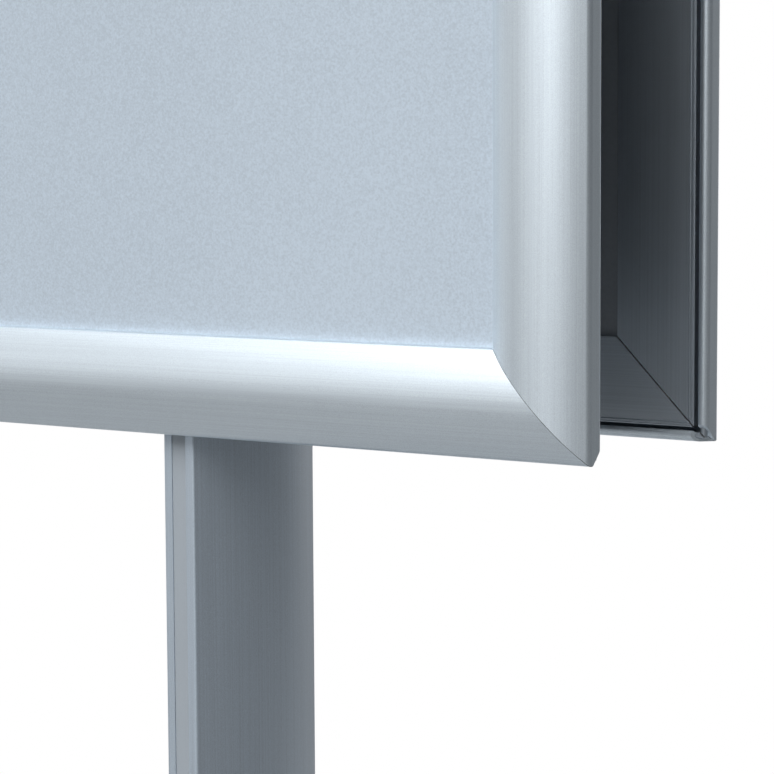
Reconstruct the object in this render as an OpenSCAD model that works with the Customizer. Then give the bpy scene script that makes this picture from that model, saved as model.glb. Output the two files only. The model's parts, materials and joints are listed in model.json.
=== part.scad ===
// Double-sided poster stand: two snap frames, back to back on an extruded column.
// Origin: middle of the footprint, on the floor. The front frame faces -Y, Z is up.
// Left and right are as seen by a person who faces that frame.

/* [Poster frames] */
// Width of the poster sheet
poster_w = 210; // [148:1:297]
// Height of the poster sheet
poster_h = 297; // [210:1:420]
// Strip of the sheet that each lid covers
poster_overlap = 9; // [8:0.5:9.5]
// Height of the upper edge of both frames above the floor
stand_h = 1250; // [900:10:1500]
// Thickness of the back panel
panel_t = 1.5; // [1:0.1:2]
// Thickness of the clear matt cover sheet
sheet_t = 0.5; // [0.3:0.1:0.8]

/* [Snap profile] */
// Width of the closed profile, from lip to outer wall
rail_w = 25; // [24.6:0.1:26]
// Height of the lid's crown above the back of the frame
crown_h = 10; // [9.6:0.1:10.6]
// Radius of the lid's convex face
crown_r = 19.8; // [19:0.1:23]
// Distance from the lip to the top of the crown
crown_u = 12.5; // [11.8:0.1:13]
// Wall of the lid
lid_wall = 1.1; // [0.9:0.1:1.3]
// Radius along the lid's outer edge
edge_r = 1.8; // [1.2:0.1:2]
// Radius along the lid's lip
nose_r = 0.8; // [0.4:0.1:0.9]
// Gap between a closed lid's lip and the cover sheet
lip_play = 0.1; // [0.05:0.05:0.3]
// Thickness of the base profile's back flange
flange_t = 1.2; // [1:0.1:1.4]
// How far the back flange stays behind the lip
flange_inset = 0.65; // [0.4:0.05:1]
// Thin walls of the base profile
rail_wall = 0.8; // [0.7:0.1:0.9]
// How far the base profile reaches over the back panel's edge
panel_grip = 1.2; // [0.8:0.1:1.4]
// Gap between two base profiles at a mitre
rail_gap = 0.4; // [0:0.1:0.6]
// Gap between two lids at a mitre
lid_gap = 0.12; // [0.1:0.02:0.4]
// Reach of the bevel that frees each end of a lid's hinge
relief_leg = 4.2; // [3.8:0.1:5]

/* [Lid hinge] */
// Radius of the base profile's hinge bead
bead_r = 0.8; // [0.7:0.05:0.85]
// Radial clearance of the bead in the lid's socket
hinge_play = 0.07; // [0.03:0.01:0.1]
// Wall of the lid's hinge socket
socket_wall = 0.68; // [0.6:0.01:0.75]
// Neck that carries the bead
neck_t = 0.6; // [0.5:0.05:0.7]
// Direction of the neck, from the bead
neck_angle = 110; // [108:1:114]
// How far a lid opens
open_angle = 90; // [60:1:92]

/* [Spring clips] */
// Thickness of the spring steel
spring_t = 0.45; // [0.3:0.05:0.55]
// Length of one clip along the profile
spring_len = 25; // [15:1:40]
// How far a clip's middle stands off the line between its seats
spring_bow = 0.55; // [0.4:0.05:0.7]
// Distance between a clip's two seats, across the profile
seat_span = 3.1; // [2.8:0.1:3.2]
// Clip seat on the base profile, above its back
rail_seat_h = 4.8; // [4.6:0.1:5]

/* [Corner angles] */
// Width of a leg, across the channel
angle_w = 3.4; // [3:0.1:3.6]
// Thickness of a leg
angle_t = 3.6; // [3:0.1:4]
// Length of a leg, from the mitre
angle_leg = 32; // [20:1:45]

/* [Column] */
// Depth of the column, from flat to flat
col_depth = 50; // [44:1:60]
// Width of the front and rear flats
col_flat = 9.2; // [9:0.1:10]
// How far each side bulges beyond the flats
col_bulge = 7.1; // [6.5:0.1:9]
// Radius along the four edges of the flats
col_edge_r = 0.8; // [0.4:0.1:1.2]
// Wall of the column
col_wall = 1.6; // [1.4:0.1:2]
// Opening of the slot in each flat
slot_open = 4.4; // [4.3:0.1:5]
// Thickness of the slot's lips
slot_lip = 1.5; // [1.3:0.1:1.8]
// Width of the slot behind its lips
slot_w = 8.6; // [8.2:0.1:8.8]
// Depth of the slot behind its lips
slot_d = 5; // [4.6:0.1:6]
// Radius of the two screw ports
port_r = 3.4; // [3:0.1:3.6]
// Distance between the two screw ports
port_pitch = 18; // [16:0.5:20]
// Distance from the upper edge of the frames down to the column's end
col_drop = 16; // [8:1:60]

/* [Base] */
// Width of the base plate
base_w = 360; // [300:5:450]
// Depth of the base plate
base_d = 280; // [220:5:400]
// Thickness of the base plate
base_t = 8; // [7:0.5:12]
// Corner radius of the base plate
base_corner_r = 28; // [15:1:60]
// Radius along the upper edge of the base plate
base_edge_r = 1.5; // [0.5:0.1:2.5]
// Radius of a rubber foot
foot_r = 11; // [8:0.5:16]
// Height of a rubber foot
foot_h = 3; // [2:0.5:6]
// Distance from the plate's edges to a foot's middle
foot_inset = 32; // [20:1:60]

/* [Hidden] */
$fn = 96;

// Cuts run this far past a face
over = 1;
// Side clearance of pieces that are pushed into a profile
slip = 0.1;

anodised = "silver";
steel = "gray";
matt_plastic = "lightsteelblue";

// The poster opening and the frame around it
vis_w = poster_w - 2 * poster_overlap;
vis_h = poster_h - 2 * poster_overlap;
frame_h = vis_h + 2 * rail_w;
frame_z = stand_h - frame_h / 2;

// Each side of a frame: turn about Y, lip's distance from the middle, length between inner corners
LEFT = [0, vis_w / 2, vis_h];
TOP = [-90, vis_h / 2, vis_w];
RIGHT = [180, vis_w / 2, vis_h];
BOTTOM = [90, vis_h / 2, vis_w];

// Section of the snap profile: u runs outwards from the lip, h forwards from the back
crown_c = [crown_u, crown_h - crown_r];
function arc_h(u, r) = crown_c[1] + sqrt(r * r - (u - crown_u) * (u - crown_u));
edge_c = [rail_w - edge_r, arc_h(rail_w - edge_r, crown_r - edge_r)];
nose_c = [nose_r, arc_h(nose_r, crown_r - nose_r)];
// The small round meets the crown's arc at this u
function blend_u(c, r) = crown_u + (c[0] - crown_u) * crown_r / (crown_r - r);

slot_play = 0.1;
panel_play = 0.2;
sheet_play = 0.3;
pocket_u = poster_overlap + sheet_play;
channel_u = pocket_u + panel_grip;
channel_in_u = channel_u + rail_wall;
channel_out_u = channel_in_u + angle_w + 2 * slip;
channel_top = flange_t + angle_t + 2 * slip;
panel_lock_h = flange_t + panel_t + slot_play;
sheet_top = flange_t + panel_t + sheet_t;
lip_h = sheet_top + lip_play;

bore_r = bead_r + hinge_play;
socket_r = bore_r + socket_wall;
hinge_c = [rail_w - socket_r, socket_r];
// Room between the turning socket and the fixed profile
socket_room = 0.4;
flange_end = rail_w - 2 * socket_r - socket_room;
upright_u = flange_end - rail_wall;
neck_top_r = 2.6;
neck_top = hinge_c + neck_top_r * [cos(neck_angle), sin(neck_angle)];
upright_top = [flange_end - rail_wall / 2, rail_seat_h + rail_wall / 2];
// The socket's mouth lets the neck pass over the whole swing
mouth_play = 8;
neck_half = asin(neck_t / 2 / bore_r);
mouth_from = neck_angle - neck_half - mouth_play;
mouth_to = neck_angle + open_angle + neck_half + mouth_play;

// Spring clip: rolled ends in the lid's and the base profile's seats, bowed between them
roll_r = 0.35;
seat_room = 0.1;
rail_seat = [upright_u - roll_r + seat_room, rail_seat_h];
lid_seat_u = rail_seat[0] - seat_span;
lid_seat = [lid_seat_u, arc_h(lid_seat_u, crown_r - lid_wall) - roll_r - seat_room];
seat_chord = norm(rail_seat - lid_seat);
seat_dir = (rail_seat - lid_seat) / seat_chord;
spring_r = norm([seat_chord / 2, spring_bow]);
spring_c = (rail_seat + lid_seat) / 2 + spring_bow * [seat_dir[1], -seat_dir[0]];
function angle_of(v) = atan2(v[1], v[0]);

// Countersunk panel bolts, with slot nuts behind the column's lips
bolt_r = 2;
head_r = 4;
bolt_play = 0.05;
nut_t = 3;
nut_len = 14;
nut_play = 0.2;
spacer_r = 7.5;
bolt_end = 0.8;
bolt_reach = slot_lip + nut_t + bolt_end;
bolt_spread = 0.36 * vis_h;

// Column
side_r = (col_depth * col_depth / 4 + col_bulge * col_bulge) / (2 * col_bulge);
side_x = col_flat / 2 + col_bulge - side_r;
col_bottom = foot_h + base_t;
col_top = stand_h - col_drop;
slot_floor = col_depth / 2 - slot_lip - slot_d;
port_wall = 1.5;
cap_t = 3;
plug_len = 9;
plug_play = 0.2;
cover_recess = 0.5;
cover_t = 1;
cover_play = 0.2;
cover_tuck = 12;
frame_bottom = stand_h - frame_h;

// Countersunk bolts from below the base plate
foot_bolt_r = port_r - bolt_play;
foot_head_r = 7.5;
foot_hole_r = 4.5;
foot_bolt_len = 35;

// Fan of points between two angles, to cut a sector
module sector(from, to, r) {
  steps = 6;
  polygon(concat([[0, 0]], [for (i = [0:steps]) let (a = from + (to - from) * i / steps)
    r * [cos(a), sin(a)]]));
}

// Straight bar with round ends
module bar(a, b, t) {
  v = b - a;
  translate(a) rotate(angle_of(v)) translate([0, -t / 2]) square([norm(v), t]);
  translate(a) circle(t / 2);
  translate(b) circle(t / 2);
}

// Full outer shape of the closed lid
module lid_outline() {
  nose_u = blend_u(nose_c, nose_r);
  edge_u = blend_u(edge_c, edge_r);
  intersection() {
    translate(crown_c) circle(crown_r, $fn = 360);
    translate([nose_u, lip_h]) square([edge_u - nose_u, crown_h]);
  }
  translate(nose_c) circle(nose_r);
  translate(edge_c) circle(edge_r);
  translate([0, lip_h]) square([nose_r, nose_c[1] - lip_h]);
  translate([rail_w - lid_wall, hinge_c[1]]) square([lid_wall, edge_c[1] - hinge_c[1]]);
}

// Section of a lid: crowned shell, hinge socket and spring seat
module lid_section() {
  difference() {
    union() {
      difference() {
        lid_outline();
        intersection() {
          translate(crown_c) circle(crown_r - lid_wall, $fn = 360);
          translate([lid_wall, -over]) square([rail_w - 2 * lid_wall, crown_h + over]);
        }
      }
      translate(hinge_c) circle(socket_r);
    }
    translate(hinge_c) circle(bore_r);
    intersection() {
      translate(hinge_c) sector(mouth_from, mouth_to, 3 * socket_r);
      translate(hinge_c) circle(socket_r + slip);
    }
  }
  intersection() {
    translate([lid_seat[0] - roll_r - seat_room / 2 - rail_wall, lid_seat[1] + seat_room / 2])
      square([rail_wall, crown_h]);
    translate(crown_c) circle(crown_r - lid_wall / 2, $fn = 360);
  }
}

// Section of the base profile: back flange, panel groove, angle channel, hinge bead
module rail_section() {
  flange_edge_r = 0.25;
  // Two grooves along the flange's outer edge: distance from the edge and radius
  grooves = [[1.2, 0.3], [0.45, 0.15]];
  difference() {
    union() {
      translate([flange_inset, 0])
        square([flange_end - flange_edge_r - flange_inset, flange_t]);
      translate([flange_end - flange_edge_r, flange_edge_r]) circle(flange_edge_r);
      translate([upright_u, flange_edge_r]) square([rail_wall, flange_t]);
    }
    for (g = grooves) translate([flange_end - g[0], 0]) circle(g[1]);
  }
  translate([pocket_u, panel_lock_h]) square([channel_in_u - pocket_u, rail_wall]);
  difference() {
    translate([channel_u, 0])
      square([channel_out_u + rail_wall - channel_u, channel_top + rail_wall]);
    translate([channel_in_u, flange_t])
      square([channel_out_u - channel_in_u, channel_top - flange_t]);
  }
  difference() {
    translate([upright_u, flange_t / 2]) square([rail_wall, upright_top[1] - flange_t / 2]);
    translate(rail_seat) circle(roll_r + seat_room / 2);
  }
  bar(upright_top, neck_top, rail_wall * 0.9);
  bar(neck_top, hinge_c, neck_t);
  translate(hinge_c) circle(bead_r);
}

// Section of a spring clip
module spring_section() {
  open_from = angle_of(rail_seat - spring_c);
  open_to = angle_of(lid_seat - spring_c);
  difference() {
    translate(spring_c) circle(spring_r + spring_t / 2);
    translate(spring_c) circle(spring_r - spring_t / 2);
    translate(spring_c) sector(open_from, open_to, 3 * spring_r);
  }
  translate(rail_seat) circle(roll_r);
  translate(lid_seat) circle(roll_r);
}

// One mitred length of a section, standing on its side of the frame
module mitred(side, gap) {
  inner = side[2] / 2;
  far = rail_w + over;
  trim = gap / sqrt(2);
  rotate([0, side[0], 0]) translate([side[1], 0, 0]) intersection() {
    translate([0, 0, -inner - far]) linear_extrude(2 * (inner + far)) children();
    rotate([-90, 0, 0]) translate([0, 0, -over]) linear_extrude(crown_h + 2 * over)
      polygon([
        [-over, -inner + over + trim], [far, -inner - far + trim],
        [far, inner + far - trim], [-over, inner - over - trim]
      ]);
  }
}

module base_profile(side) {
  color(anodised) mitred(side, rail_gap) rail_section();
}

// Lid with a bevel at each end, where the hinge sockets of two lids would meet
module lid(side) {
  reach = side[2] / 2 + rail_w;
  cut = relief_leg * sqrt(2);
  color(anodised) difference() {
    mitred(side, lid_gap) lid_section();
    rotate([0, side[0], 0]) for (end = [-1, 1])
      translate([side[1] + upright_u, 0, end * reach]) rotate([45, 0, 0])
        translate([0, -cut / 2, -cut / 2]) cube([rail_w, cut, cut]);
  }
}

// Two clips, a quarter of the side's length from its middle
module springs(side) {
  color(steel) rotate([0, side[0], 0]) for (end = [-1, 1])
    translate([side[1], 0, end * side[2] / 4 - spring_len / 2])
      linear_extrude(spring_len) spring_section();
}

// Four angles, one leg in each of two neighbouring channels
module corner_angles() {
  channel_mid = (channel_in_u + channel_out_u) / 2;
  corner_x = vis_w / 2 + channel_mid;
  corner_z = vis_h / 2 + channel_mid;
  low = flange_t + slip;
  color(steel) for (sx = [-1, 1], sz = [-1, 1])
    translate([sx * corner_x, low, sz * corner_z]) {
      translate([sx > 0 ? -angle_leg : -angle_w / 2, 0, -angle_w / 2])
        cube([angle_leg + angle_w / 2, angle_t, angle_w]);
      translate([-angle_w / 2, 0, sz > 0 ? -angle_leg : -angle_w / 2])
        cube([angle_w, angle_t, angle_leg + angle_w / 2]);
    }
}

// Places children at both bolt positions, with their Z forwards
module at_bolts() {
  for (end = [-1, 1]) translate([0, 0, end * bolt_spread]) rotate([-90, 0, 0]) children();
}

// Countersunk bolt's outline, grown by a clearance, head flush with the panel
module bolt_shape(grow) {
  head_top = flange_t + panel_t;
  translate([0, 0, -bolt_reach]) cylinder(r = bolt_r + grow, h = bolt_reach + head_top);
  translate([0, 0, head_top - head_r + bolt_r]) cylinder(r1 = bolt_r + grow, r2 = head_r + grow,
    h = head_r - bolt_r);
}

module back_panel() {
  w = vis_w + 2 * (channel_u - panel_play);
  h = vis_h + 2 * (channel_u - panel_play);
  color(matt_plastic) difference() {
    translate([-w / 2, flange_t, -h / 2]) cube([w, panel_t, h]);
    at_bolts() bolt_shape(bolt_play);
  }
}

module cover_sheet() {
  color(matt_plastic) translate([-poster_w / 2, flange_t + panel_t, -poster_h / 2])
    cube([poster_w, sheet_t, poster_h]);
}

module panel_spacers() {
  color(steel) difference() {
    at_bolts() cylinder(r = spacer_r, h = flange_t);
    at_bolts() bolt_shape(bolt_play);
  }
}

module panel_bolts() {
  hex_r = 1.45;
  hex_d = 1.6;
  color(steel) difference() {
    at_bolts() bolt_shape(0);
    at_bolts() translate([0, 0, flange_t + panel_t - hex_d]) cylinder(r = hex_r, h = hex_d + over, $fn = 6);
  }
}

module slot_nuts() {
  nut_w = slot_w - 2 * nut_play;
  color(steel) difference() {
    at_bolts() translate([-nut_w / 2, -nut_len / 2, -slot_lip - nut_t]) cube([nut_w, nut_len, nut_t]);
    at_bolts() bolt_shape(bolt_play);
  }
}

// A frame is drawn with its back on the XZ plane, facing +Y, around its own middle
module rear_side() {
  translate([0, col_depth / 2, frame_z]) children();
}

module front_side() {
  rotate([0, 0, 180]) rear_side() children();
}

// Space between the column's two arcs, cut off at a depth
module col_arcs(inset, depth) {
  intersection() {
    translate([side_x, 0]) circle(side_r - inset, $fn = 360);
    translate([-side_x, 0]) circle(side_r - inset, $fn = 360);
    square([4 * (col_flat + col_bulge), depth], center = true);
  }
}

// Outline of the column: two arcs and two flats, with round edges between them
module col_outline() {
  in_y = col_depth / 2 - col_edge_r;
  in_r = side_r - col_edge_r;
  in_x = side_x + sqrt(in_r * in_r - in_y * in_y);
  col_arcs(0, 2 * in_y * side_r / in_r);
  square([2 * in_x, col_depth], center = true);
  for (sx = [-1, 1], sy = [-1, 1]) translate([sx * in_x, sy * in_y]) circle(col_edge_r);
}

module col_section() {
  chamber_d = 2 * (slot_floor - col_wall);
  port_y = port_pitch / 2;
  difference() {
    col_outline();
    difference() {
      col_arcs(col_wall, chamber_d);
      for (s = [-1, 1]) translate([0, s * port_y]) {
        circle(port_r + port_wall);
        square([4 * col_flat, col_wall], center = true);
      }
    }
    for (s = [-1, 1]) {
      translate([0, s * port_y]) circle(port_r);
      translate([0, s * (slot_floor + slot_d / 2)]) square([slot_w, slot_d], center = true);
      translate([0, s * col_depth / 2]) square([slot_open, 2 * (slot_lip + slip)], center = true);
    }
  }
}

module column() {
  color(anodised) translate([0, 0, col_bottom]) linear_extrude(col_top - col_bottom) col_section();
}

// Cap with a plug in the column's middle chamber
module column_cap() {
  plug_d = port_pitch - 2 * (port_r + port_wall + plug_play);
  color("dimgray") translate([0, 0, col_top]) {
    linear_extrude(cap_t) col_outline();
    translate([0, 0, -plug_len]) linear_extrude(plug_len) col_arcs(col_wall + plug_play, plug_d);
  }
}

// Clip-in strip that closes the slot below the frames, drawn for the rear slot
module slot_cover() {
  face_x = (slot_open - cover_play) / 2;
  leg_t = 0.9;
  barb = 0.5;
  barb_len = 1.2;
  back = cover_recess + cover_t;
  barb_from = slot_lip + slip;
  barb_to = barb_from + barb_len;
  half = [
    [face_x, -cover_recess], [face_x, -barb_from], [face_x + barb, -barb_from],
    [face_x - leg_t / 2, -barb_to], [face_x - leg_t, -barb_to], [face_x - leg_t, -back]
  ];
  other_half = [for (i = [len(half) - 1:-1:0]) [-half[i][0], half[i][1]]];
  color(matt_plastic) translate([0, col_depth / 2, col_bottom])
    linear_extrude(frame_bottom + cover_tuck - col_bottom) polygon(concat(half, other_half));
}

// Plate with round corners in plan and a round upper edge
module base_plate() {
  edge_z = base_t - base_edge_r;
  in_w = base_w / 2 - base_corner_r;
  in_d = base_d / 2 - base_corner_r;
  color("silver") translate([0, 0, foot_h]) difference() {
    union() {
      for (h = [[base_t, base_edge_r], [edge_z, 0]]) linear_extrude(h[0]) {
        square([base_w - 2 * h[1], 2 * in_d], center = true);
        square([2 * in_w, base_d - 2 * h[1]], center = true);
      }
      for (sx = [-1, 1], sy = [-1, 1]) translate([sx * in_w, sy * in_d]) rotate_extrude() {
        square([base_corner_r, edge_z]);
        square([base_corner_r - base_edge_r, base_t]);
        translate([base_corner_r - base_edge_r, edge_z]) circle(base_edge_r);
      }
      for (s = [-1, 1]) {
        translate([s * (base_w / 2 - base_edge_r), 0, edge_z]) rotate([90, 0, 0])
          cylinder(r = base_edge_r, h = 2 * in_d, center = true);
        translate([0, s * (base_d / 2 - base_edge_r), edge_z]) rotate([0, 90, 0])
          cylinder(r = base_edge_r, h = 2 * in_w, center = true);
      }
    }
    for (s = [-1, 1]) translate([0, s * port_pitch / 2, -over]) {
      cylinder(r = foot_hole_r, h = base_t + 2 * over);
      cylinder(r1 = foot_head_r + bolt_play + over, r2 = foot_hole_r,
        h = foot_head_r + bolt_play + over - foot_hole_r);
    }
  }
}

module rubber_feet() {
  color("black") for (sx = [-1, 1], sy = [-1, 1])
    translate([sx * (base_w / 2 - foot_inset), sy * (base_d / 2 - foot_inset)])
      cylinder(r = foot_r, h = foot_h);
}

module column_bolts() {
  hex_r = 2.9;
  hex_d = 3;
  color(steel) for (s = [-1, 1]) translate([0, s * port_pitch / 2, foot_h]) difference() {
    union() {
      cylinder(r1 = foot_head_r, r2 = foot_bolt_r, h = foot_head_r - foot_bolt_r);
      cylinder(r = foot_bolt_r, h = foot_bolt_len);
    }
    translate([0, 0, -over]) cylinder(r = hex_r, h = hex_d + over, $fn = 6);
  }
}

base_plate();
rubber_feet();
column_bolts();
column();
column_cap();
mirror([0, 1, 0]) slot_cover();  // front_slot_cover
slot_cover();  // rear_slot_cover

front_side() base_profile(TOP);  // front_top_rail
front_side() base_profile(BOTTOM);  // front_bottom_rail
front_side() base_profile(LEFT);  // front_left_rail
front_side() base_profile(RIGHT);  // front_right_rail
front_side() lid(TOP);  // front_top_lid
front_side() lid(BOTTOM);  // front_bottom_lid
front_side() lid(LEFT);  // front_left_lid
front_side() lid(RIGHT);  // front_right_lid
front_side() springs(TOP);  // front_top_springs
front_side() springs(BOTTOM);  // front_bottom_springs
front_side() springs(LEFT);  // front_left_springs
front_side() springs(RIGHT);  // front_right_springs
front_side() corner_angles();  // front_corner_angles
front_side() back_panel();  // front_back_panel
front_side() cover_sheet();  // front_cover_sheet
front_side() panel_spacers();  // front_panel_spacers
front_side() panel_bolts();  // front_panel_bolts
front_side() slot_nuts();  // front_slot_nuts

rear_side() base_profile(TOP);  // rear_top_rail
rear_side() base_profile(BOTTOM);  // rear_bottom_rail
rear_side() base_profile(LEFT);  // rear_left_rail
rear_side() base_profile(RIGHT);  // rear_right_rail
rear_side() lid(TOP);  // rear_top_lid
rear_side() lid(BOTTOM);  // rear_bottom_lid
rear_side() lid(LEFT);  // rear_left_lid
rear_side() lid(RIGHT);  // rear_right_lid
rear_side() springs(TOP);  // rear_top_springs
rear_side() springs(BOTTOM);  // rear_bottom_springs
rear_side() springs(LEFT);  // rear_left_springs
rear_side() springs(RIGHT);  // rear_right_springs
rear_side() corner_angles();  // rear_corner_angles
rear_side() back_panel();  // rear_back_panel
rear_side() cover_sheet();  // rear_cover_sheet
rear_side() panel_spacers();  // rear_panel_spacers
rear_side() panel_bolts();  // rear_panel_bolts
rear_side() slot_nuts();  // rear_slot_nuts
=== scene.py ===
# Poster stand: finishes, spring clips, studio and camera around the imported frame, in metres
import json
import math
import bpy
import bmesh
from mathutils import Matrix, Vector

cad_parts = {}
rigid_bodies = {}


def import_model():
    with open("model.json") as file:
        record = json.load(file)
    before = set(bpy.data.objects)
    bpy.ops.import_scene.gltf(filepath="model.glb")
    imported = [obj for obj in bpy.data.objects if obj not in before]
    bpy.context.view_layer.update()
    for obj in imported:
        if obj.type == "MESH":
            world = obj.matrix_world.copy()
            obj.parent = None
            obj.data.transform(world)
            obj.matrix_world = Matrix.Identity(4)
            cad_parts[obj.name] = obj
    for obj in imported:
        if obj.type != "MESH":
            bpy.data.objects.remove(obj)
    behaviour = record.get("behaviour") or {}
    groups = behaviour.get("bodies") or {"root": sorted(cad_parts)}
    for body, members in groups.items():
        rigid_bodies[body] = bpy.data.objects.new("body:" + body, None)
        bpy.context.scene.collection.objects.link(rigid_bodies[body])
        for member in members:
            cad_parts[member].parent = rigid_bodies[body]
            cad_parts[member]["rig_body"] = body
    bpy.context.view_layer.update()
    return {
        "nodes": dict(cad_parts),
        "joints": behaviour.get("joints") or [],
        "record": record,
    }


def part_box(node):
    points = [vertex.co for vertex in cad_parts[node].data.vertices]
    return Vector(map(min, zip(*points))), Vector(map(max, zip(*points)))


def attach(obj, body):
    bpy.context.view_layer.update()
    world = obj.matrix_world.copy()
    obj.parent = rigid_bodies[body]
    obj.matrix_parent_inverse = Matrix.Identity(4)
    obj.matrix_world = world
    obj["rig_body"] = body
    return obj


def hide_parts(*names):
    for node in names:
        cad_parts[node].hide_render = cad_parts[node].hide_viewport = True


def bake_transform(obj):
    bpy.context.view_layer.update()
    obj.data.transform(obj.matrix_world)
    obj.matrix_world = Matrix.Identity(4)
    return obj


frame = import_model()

scene = bpy.context.scene
print("frame loaded:", len(frame["nodes"]), "nodes")


# A wire is a socket that takes part in sums, which become Math nodes
class Wire:
    def __init__(self, graph, socket):
        self.graph = graph
        self.socket = socket

    def __add__(self, other):
        return self.graph.maths("ADD", self, other)

    def __radd__(self, other):
        return self.graph.maths("ADD", other, self)

    def __sub__(self, other):
        return self.graph.maths("SUBTRACT", self, other)

    def __rsub__(self, other):
        return self.graph.maths("SUBTRACT", other, self)

    def __mul__(self, other):
        return self.graph.maths("MULTIPLY", self, other)

    def __rmul__(self, other):
        return self.graph.maths("MULTIPLY", other, self)


class Graph:
    def __init__(self, tree):
        self.tree = tree
        tree.nodes.clear()

    def node(self, kind, settings, values, result=0):
        made = self.tree.nodes.new("ShaderNode" + kind)
        for key, setting in settings.items():
            if key == "stops":
                self.setStops(made.color_ramp, setting)
            else:
                setattr(made, key, setting)
        for key, value in values.items():
            if isinstance(value, Wire):
                self.tree.links.new(value.socket, made.inputs[key])
            else:
                made.inputs[key].default_value = value
        return Wire(self, made.outputs[result]) if made.outputs else None

    def setStops(self, ramp, stops):
        while len(ramp.elements) < len(stops):
            ramp.elements.new(1.0)
        for element, (place, shade) in zip(ramp.elements, stops):
            element.position = place
            element.color = (shade, shade, shade, 1.0)

    def maths(self, operation, *values):
        return self.node("Math", {"operation": operation}, dict(enumerate(values)))

    def mixColour(self, mask, low, high):
        return self.node("Mix", {"data_type": "RGBA"}, {0: mask, 6: low, 7: high}, 2)

    def mixValue(self, mask, low, high):
        return self.node("Mix", {"data_type": "FLOAT"}, {0: mask, 2: low, 3: high})

    def coordinate(self, space):
        return self.node("TexCoord", {}, {}, space)

    def axes(self, vector):
        split = self.node("SeparateXYZ", {}, {"Vector": vector}).socket.node
        return [Wire(self, output) for output in split.outputs]

    def dot(self, vector, direction):
        return self.node("VectorMath", {"operation": "DOT_PRODUCT"}, {0: vector, 1: direction}, "Value")

    def noise(self, stretch, scale, detail):
        placed = self.node("Mapping", {}, {"Vector": self.coordinate("Object"), "Scale": stretch})
        return self.node("TexNoise", {}, {"Vector": placed, "Scale": scale, "Detail": detail})

    def bump(self, height, look):
        return self.node("Bump", {}, {"Height": height, "Strength": look["bumpStrength"],
                                      "Distance": look["bumpDepth"]})


def tint(colour, gain):
    return tuple(channel * gain for channel in colour) + (1.0,)


def shades(graph, mask, low, high, spread, ends):
    stops = [(ends[0], 0.0), (ends[1], 1.0)]
    blend = graph.node("ValToRGB", {"stops": stops}, {0: mask})
    return graph.mixColour(blend, tint(low, 1.0 - spread), tint(high, 1.0 + spread))


def makeMaterial(name, paint, look):
    material = bpy.data.materials.new(name)
    material.use_nodes = True
    graph = Graph(material.node_tree)
    surface = graph.node("BsdfPrincipled", {}, paint(graph, look))
    graph.node("OutputMaterial", {}, {"Surface": surface})
    return material


# Noise is stretched into lines along a bar
lengthwise = {"x": (0.004, 1.0, 1.0), "z": (1.0, 1.0, 0.004)}
evenStretch = (1.0, 1.0, 1.0)
sawStretch = (1.0, 0.03, 1.0)
streakStretch = (1.0, 1.0, 0.2)
noiseMiddle = 0.5
softEnds = (0.35, 0.65)     # noise values that give the darkest and the palest shade
wideEnds = (0.3, 0.7)
mitreLean = 0.35            # product of a normal's x and z, past which a face is a mitre
pebbleShare = 0.7
streakShare = 0.5


def paintAnodised(graph, look):
    lines = graph.noise(lengthwise[look["along"]], look["lineScale"], detail=3.0)
    grain = graph.noise(evenStretch, look["grainScale"], detail=1.0)
    cloud = graph.noise(evenStretch, look["cloudScale"], detail=2.0)
    mix = lines * look["lineShare"] + grain * (1.0 - look["lineShare"])
    colour = shades(graph, mix, look["colour"], look["colour"], look["shadeSpread"], softEnds)
    roughness = (look["roughness"] + (lines - noiseMiddle) * look["lineRoughness"]
                 + (cloud - noiseMiddle) * look["cloudRoughness"])
    # Saw-cut mitre faces are bare aluminium, the only ones that lean both ways
    sideways, _, upwards = graph.axes(graph.coordinate("Normal"))
    sawn = graph.maths("GREATER_THAN", graph.maths("ABSOLUTE", sideways * upwards), mitreLean)
    sawLines = graph.noise(sawStretch, look["sawScale"], detail=2.0)
    darkest, palest = look["sawShades"]
    bare = graph.mixColour(sawLines, tint(look["sawColour"], darkest), tint(look["sawColour"], palest))
    height = graph.mixValue(sawn, mix, sawLines)
    return {
        "Base Color": graph.mixColour(sawn, colour, bare),
        "Metallic": 1.0,
        "Coat Weight": look["coat"],
        "Coat Roughness": look["coatRoughness"],
        "Roughness": graph.mixValue(sawn, roughness, look["sawRoughness"]),
        "Normal": graph.bump(height, look),
    }


def paintPebbled(graph, look):
    pebble = graph.noise(evenStretch, look["pebbleScale"], look["pebbleDetail"])
    cloud = graph.noise(evenStretch, look["cloudScale"], detail=3.0)
    mix = pebble * pebbleShare + cloud * (1.0 - pebbleShare)
    return {
        "Base Color": shades(graph, mix, look["colour"], look["colour"], look["shadeSpread"], softEnds),
        "Metallic": look.get("metallic", 0.0),
        "Roughness": look["roughness"] + (cloud - noiseMiddle) * look["cloudRoughness"],
        "Normal": graph.bump(pebble, look),
        "Specular IOR Level": look.get("specular", 0.5),
    }


def paintPlated(graph, look):
    streak = graph.noise(streakStretch, look["streakScale"], detail=3.0)
    spangle = graph.noise(evenStretch, look["spangleScale"], detail=2.0)
    mix = streak * streakShare + spangle * (1.0 - streakShare)
    return {
        "Base Color": shades(graph, mix, look["colour"], look["warmColour"], look["shadeSpread"], wideEnds),
        "Metallic": 1.0,
        "Roughness": look["roughness"] + (mix - noiseMiddle) * look["roughSpread"],
        "Normal": graph.bump(mix, look),
    }


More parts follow.
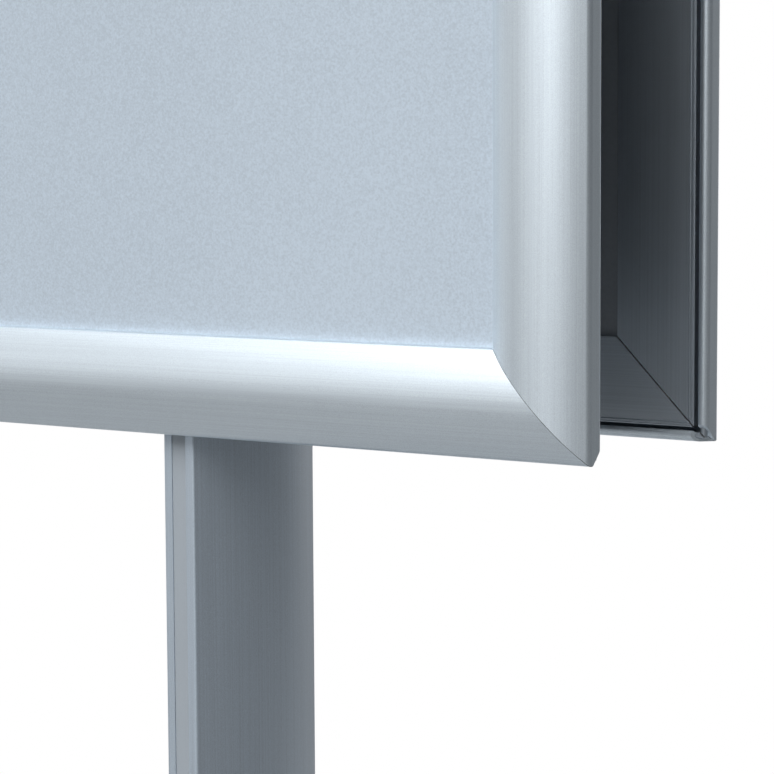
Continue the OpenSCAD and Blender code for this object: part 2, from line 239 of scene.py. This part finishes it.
lidLook = {
    "colour": (0.82, 0.90, 0.965), "shadeSpread": 0.08,
    "roughness": 0.47, "lineRoughness": 0.08, "cloudRoughness": 0.05,
    "lineScale": 3600.0, "grainScale": 5200.0, "cloudScale": 14.0, "lineShare": 0.38,
    "coat": 0.0, "coatRoughness": 0.4,
    "sawColour": (0.80, 0.81, 0.82), "sawShades": (0.85, 1.1), "sawScale": 5200.0, "sawRoughness": 0.45,
    "bumpStrength": 0.25, "bumpDepth": 0.00002,
}
# The rails take the lids' anodised finish in a darker colour, which is painted shade: the base profiles sit
# in the shade between the frames, behind the lids
railPaintedShadeLook = dict(lidLook, colour=(0.50, 0.55, 0.60), shadeSpread=0.10,
                roughness=0.46, lineRoughness=0.12, lineScale=2200.0, lineShare=0.55)
# The column's coat is the clear layer of thick anodising
columnLook = dict(lidLook, colour=(0.592, 0.668, 0.745), shadeSpread=0.12,
                  roughness=0.60, lineRoughness=0.06, lineScale=2600.0, lineShare=0.35, coat=0.7)

looks = {
    "anodised_face": lidLook,
    "anodised": railPaintedShadeLook,
    "column": columnLook,
    "cover_film": {
        "colour": (0.483, 0.556, 0.632), "shadeSpread": 0.10,
        "roughness": 0.55, "cloudRoughness": 0.04,
        "pebbleScale": 1900.0, "pebbleDetail": 2.0, "cloudScale": 9.0,
        "bumpStrength": 0.4, "bumpDepth": 0.00008,
    },
    "panel_plastic": {
        "colour": (0.20, 0.22, 0.245), "shadeSpread": 0.05,
        "roughness": 0.5, "cloudRoughness": 0.08,
        "pebbleScale": 1500.0, "pebbleDetail": 2.0, "cloudScale": 12.0,
        "bumpStrength": 0.2, "bumpDepth": 0.00006,
    },
    "slot_plastic": {
        "colour": (0.36, 0.40, 0.44), "shadeSpread": 0.03,
        "roughness": 0.42, "cloudRoughness": 0.06,
        "pebbleScale": 3000.0, "pebbleDetail": 1.0, "cloudScale": 20.0,
        "bumpStrength": 0.15, "bumpDepth": 0.00003,
    },
    "cap_plastic": {
        "colour": (0.05, 0.052, 0.056), "shadeSpread": 0.08,
        "roughness": 0.48, "cloudRoughness": 0.1,
        "pebbleScale": 2200.0, "pebbleDetail": 2.0, "cloudScale": 30.0,
        "bumpStrength": 0.35, "bumpDepth": 0.00006,
    },
    "rubber": {
        "colour": (0.022, 0.022, 0.023), "shadeSpread": 0.2, "specular": 0.3,
        "roughness": 0.8, "cloudRoughness": 0.1,
        "pebbleScale": 1200.0, "pebbleDetail": 3.0, "cloudScale": 40.0,
        "bumpStrength": 0.4, "bumpDepth": 0.0001,
    },
    "powder_coat": {
        "colour": (0.46, 0.48, 0.51), "shadeSpread": 0.05, "metallic": 0.25,
        "roughness": 0.5, "cloudRoughness": 0.08,
        "pebbleScale": 1900.0, "pebbleDetail": 2.0, "cloudScale": 6.0,
        "bumpStrength": 0.45, "bumpDepth": 0.00012,
    },
    "zinc_steel": {
        "colour": (0.52, 0.53, 0.55), "warmColour": (0.60, 0.59, 0.54), "shadeSpread": 0.08,
        "roughness": 0.36, "roughSpread": 0.2, "streakScale": 700.0, "spangleScale": 240.0,
        "bumpStrength": 0.2, "bumpDepth": 0.00004,
    },
    "spring_steel": {
        "colour": (0.30, 0.31, 0.34), "warmColour": (0.36, 0.34, 0.33), "shadeSpread": 0.08,
        "roughness": 0.34, "roughSpread": 0.2, "streakScale": 1600.0, "spangleScale": 500.0,
        "bumpStrength": 0.15, "bumpDepth": 0.00002,
    },
}
painters = {"zinc_steel": paintPlated, "spring_steel": paintPlated}
barSlots = ("anodised_face", "anodised")    # finishes whose lines follow the bar

materials = {}
for slotName in barSlots:
    for along in lengthwise:
        materials[slotName, along] = makeMaterial(slotName + "_" + along, paintAnodised,
                                                  dict(looks[slotName], along=along))
materials["column"] = makeMaterial("column_anodised", paintAnodised, dict(looks["column"], along="z"))
for slotName, look in looks.items():
    if slotName not in barSlots and slotName != "column":
        paint = painters.get(slotName, paintPebbled)
        materials[slotName] = makeMaterial(slotName + "_finish", paint, look)
print("finishes made:", len(materials))


def barDirection(nodeName):
    return "x" if "_top_" in nodeName or "_bottom_" in nodeName else "z"


def finishFor(nodeName, slotName):
    if nodeName == "column":
        return materials["column"]
    if slotName in barSlots:
        return materials[slotName, barDirection(nodeName)]
    return materials[slotName]


slotOf = {row["node"]: row["material_slot"] for row in frame["record"]["subparts"]}
for nodeName, node in frame["nodes"].items():
    for place in node.material_slots:
        place.material = finishFor(nodeName, slotOf[nodeName])
print("nodes finished")


# Spring clips: welded, smooth-shaded copies of the CAD springs, which sit bent between a base profile and
# its lid, outwards and forwards from the hinge
weldDistance = 0.000002
creaseAngle = math.radians(30.0)


def addPiece(pieceName, mesh):
    mesh.shade_smooth()
    mesh.set_sharp_from_angle(angle=creaseAngle)
    piece = bpy.data.objects.new(pieceName, mesh)
    scene.collection.objects.link(piece)
    return piece


def weldedCopy(nodeName, pieceName):
    mesh = frame["nodes"][nodeName].data.copy()
    welded = bmesh.new()
    welded.from_mesh(mesh)
    bmesh.ops.remove_doubles(welded, verts=welded.verts, dist=weldDistance)
    welded.to_mesh(mesh)
    welded.free()
    return addPiece(pieceName, mesh)


middle = (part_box("front_cover_sheet")[0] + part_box("front_cover_sheet")[1]) / 2
for joint in frame["joints"]:
    sideName = joint["name"].removesuffix("_hinge")
    clips = weldedCopy(sideName + "_springs", sideName + "_clips")
    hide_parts(sideName + "_springs")
    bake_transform(clips)


# Slot strips: a crowned face nearly flush with the column's lips, and barbed legs behind them
stripShape = {
    "slotWidth": 0.0044, "sideGap": 0.00002, "recess": 0.00002, "crown": 0.00015, "edgeRadius": 0.0001,
    "faceThickness": 0.001, "legThickness": 0.0009, "lipThickness": 0.0016,
    "crownSteps": 8, "edgeSteps": 3,
}


def stripOutline(shape, boxHalf, boxDepth):
    half = shape["slotWidth"] / 2 - shape["sideGap"]
    edge = shape["edgeRadius"]
    inner = half - edge
    sunk = shape["recess"] + shape["crown"]
    points = []
    for step in range(shape["crownSteps"] + 1):
        across = inner * step / shape["crownSteps"]
        points.append((across, shape["recess"] + shape["crown"] * (across / inner) ** 2))
    for step in range(1, shape["edgeSteps"] + 1):
        turn = math.radians(90.0 * step / shape["edgeSteps"])
        points.append((inner + edge * math.sin(turn), sunk + edge * (1 - math.cos(turn))))
    leg = shape["legThickness"]
    points += [(half, shape["lipThickness"]), (boxHalf, shape["lipThickness"]),
               (half - leg / 2, boxDepth), (half - leg, boxDepth),
               (half - leg, sunk + shape["faceThickness"])]
    return points + [(-across, depth) for across, depth in reversed(points[1:])]


def makeStrip(sideName):
    low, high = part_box(sideName + "_slot_cover")
    facing = math.copysign(1.0, low.y)
    faceY = max(abs(corner.y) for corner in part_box("column"))
    outline = stripOutline(stripShape, high.x, faceY - min(abs(low.y), abs(high.y)))
    build = bmesh.new()
    ring = [build.verts.new((across, facing * (faceY - depth), low.z)) for across, depth in outline]
    lowerEnd = build.faces.new(ring)
    raised = bmesh.ops.extrude_face_region(build, geom=[lowerEnd])
    tops = [item for item in raised["geom"] if isinstance(item, bmesh.types.BMVert)]
    bmesh.ops.translate(build, verts=tops, vec=(0.0, 0.0, high.z - low.z))
    bmesh.ops.recalc_face_normals(build, faces=build.faces)
    mesh = bpy.data.meshes.new(sideName + "_slot_strip")
    build.to_mesh(mesh)
    build.free()
    mesh.materials.append(materials["slot_plastic"])
    strip = addPiece(sideName + "_slot_strip", mesh)
    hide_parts(sideName + "_slot_cover")
    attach(strip, frame["nodes"][sideName + "_slot_cover"]["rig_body"])


for sideName in ("front", "rear"):
    makeStrip(sideName)
print("strips made")


# Studio: a patch starts and is full where the cosine to its direction passes its two edges
studio = {
    "floorRadius": 2.5, "floorSegments": 96, "floorColour": (0.40, 0.404, 0.408, 1.0),
    "glowNear": 0.63, "glowFar": 1.0, "glowFrom": 0.5, "glowTo": 1.7,
    "backGlowFrom": 0.5, "backGlowTo": 3.0,
    "ambient": 0.13, "ambientTint": (0.97, 1.0, 1.03, 1.0), "white": (1.0, 1.0, 1.0, 1.0),
    "walls": {
        "left": {"toward": (-0.981, -0.173, 0.087), "edge": (0.883, 0.990), "level": 0.60},
        "front": {"toward": (-0.561, -0.801, 0.208), "edge": (0.914, 0.990), "level": 0.67},
        "middle": {"toward": (-0.139, -0.987, 0.087), "edge": (0.914, 0.990), "level": 0.37},
    },
    "backdrop": {"toward": (0.03, 0.99, 0.087), "edge": (0.94, 0.995)},
}
softboxes = {
    "keySoftbox": {"toward": (0.071, -0.751, 0.656), "distance": 3.0, "size": 2.4, "power": 94.0},
    "fillSoftbox": {"toward": (-0.50, -0.33, 0.80), "distance": 3.0, "size": 1.6, "power": 9.0},
    "backSoftbox": {"toward": (-0.53, 0.76, 0.375), "distance": 3.0, "size": 2.3, "power": 52.0},
}


def seenDirectly(graph):
    path = graph.node("LightPath", {}, {}).socket.node.outputs
    return [Wire(graph, path[key]) for key in ("Is Camera Ray", "Is Glossy Ray", "Is Transmission Ray")]


def makeFloor():
    disc = bmesh.new()
    bmesh.ops.create_circle(disc, cap_ends=True, segments=studio["floorSegments"],
                            radius=studio["floorRadius"])
    mesh = bpy.data.meshes.new("floor")
    disc.to_mesh(mesh)
    disc.free()
    floor = bpy.data.objects.new("floor", mesh)
    scene.collection.objects.link(floor)
    material = bpy.data.materials.new("pale_floor")
    material.use_nodes = True
    graph = Graph(material.node_tree)
    camera, glossy, through = seenDirectly(graph)
    spot = graph.coordinate("Object")
    behind = graph.node("MapRange", {}, {0: graph.dot(spot, studio["backdrop"]["toward"]),
                                         1: studio["backGlowFrom"], 2: studio["backGlowTo"],
                                         3: 0.0, 4: 1.0})
    matt = graph.node("BsdfDiffuse", {}, {"Color": studio["floorColour"]})
    away = graph.node("VectorMath", {"operation": "LENGTH"}, {0: spot}, "Value")
    level = graph.node("MapRange", {}, {0: away, 1: studio["glowFrom"], 2: studio["glowTo"],
                                        3: studio["glowNear"], 4: studio["glowFar"]})
    glow = graph.node("Emission", {}, {"Strength": (camera + (glossy + through) * behind) * level})
    both = graph.node("AddShader", {}, {0: matt, 1: glow})
    graph.node("OutputMaterial", {}, {"Surface": both})
    mesh.materials.append(material)


def makeWorld():
    world = bpy.data.worlds.new("studio")
    world.use_nodes = True
    scene.world = world
    graph = Graph(world.node_tree)
    camera, glossy, through = seenDirectly(graph)
    toward = graph.coordinate("Generated")

    def patch(wall):
        start, full = wall["edge"]
        return graph.node("MapRange", {"interpolation_type": "SMOOTHSTEP"},
                          {0: graph.dot(toward, wall["toward"]), 1: start, 2: full, 3: 0.0, 4: 1.0})

    walls = sum(patch(wall) * wall["level"] for wall in studio["walls"].values())
    behind = patch(studio["backdrop"])
    white = camera + (glossy + through) * behind
    rest = 1.0 - white
    ambient = graph.node("Background", {}, {"Color": studio["ambientTint"],
                                            "Strength": rest * studio["ambient"]})
    plain = graph.node("Background", {}, {"Color": studio["white"], "Strength": white + walls * rest})
    both = graph.node("AddShader", {}, {0: ambient, 1: plain})
    graph.node("OutputWorld", {}, {"Surface": both})


def addSoftbox(boxName, box):
    lamp = bpy.data.lights.new(boxName, "AREA")
    lamp.shape = "DISK"
    lamp.size = box["size"]
    lamp.energy = box["power"]
    lit = bpy.data.objects.new(boxName, lamp)
    direction = Vector(box["toward"]).normalized()
    lit.location = middle + direction * box["distance"]
    lit.rotation_euler = direction.to_track_quat("Z", "Y").to_euler()
    lit.visible_camera = False
    scene.collection.objects.link(lit)


makeFloor()
makeWorld()
for boxName, box in softboxes.items():
    addSoftbox(boxName, box)
scene.view_settings.view_transform = "Standard"
print("studio set")


# Camera at the photograph's angle, turned in radians
cameraView = {
    "place": (0.380986, -0.483385, 0.986338),
    "yaw": 0.606, "pitch": -0.091, "roll": -0.005,
    "focalPixels": 2398.4, "imageWidth": 774.0, "sensor": 36.0, "nearest": 0.01,
}


def addCamera(view):
    lens = bpy.data.cameras.new("photoCamera")
    lens.sensor_width = view["sensor"]
    lens.lens = view["focalPixels"] * view["sensor"] / view["imageWidth"]
    lens.clip_start = view["nearest"]
    camera = bpy.data.objects.new("photoCamera", lens)
    yaw, pitch, roll = view["yaw"], view["pitch"], view["roll"]
    forward = Vector((-math.sin(yaw) * math.cos(pitch), math.cos(yaw) * math.cos(pitch), math.sin(pitch)))
    level = Vector((math.cos(yaw), math.sin(yaw), 0.0))
    upright = level.cross(forward)
    side = level * math.cos(roll) + upright * math.sin(roll)
    above = upright * math.cos(roll) - level * math.sin(roll)
    turn = Matrix((side, above, -forward)).transposed().to_4x4()
    camera.matrix_world = Matrix.Translation(view["place"]) @ turn
    scene.collection.objects.link(camera)
    scene.camera = camera


addCamera(cameraView)
print("camera set")
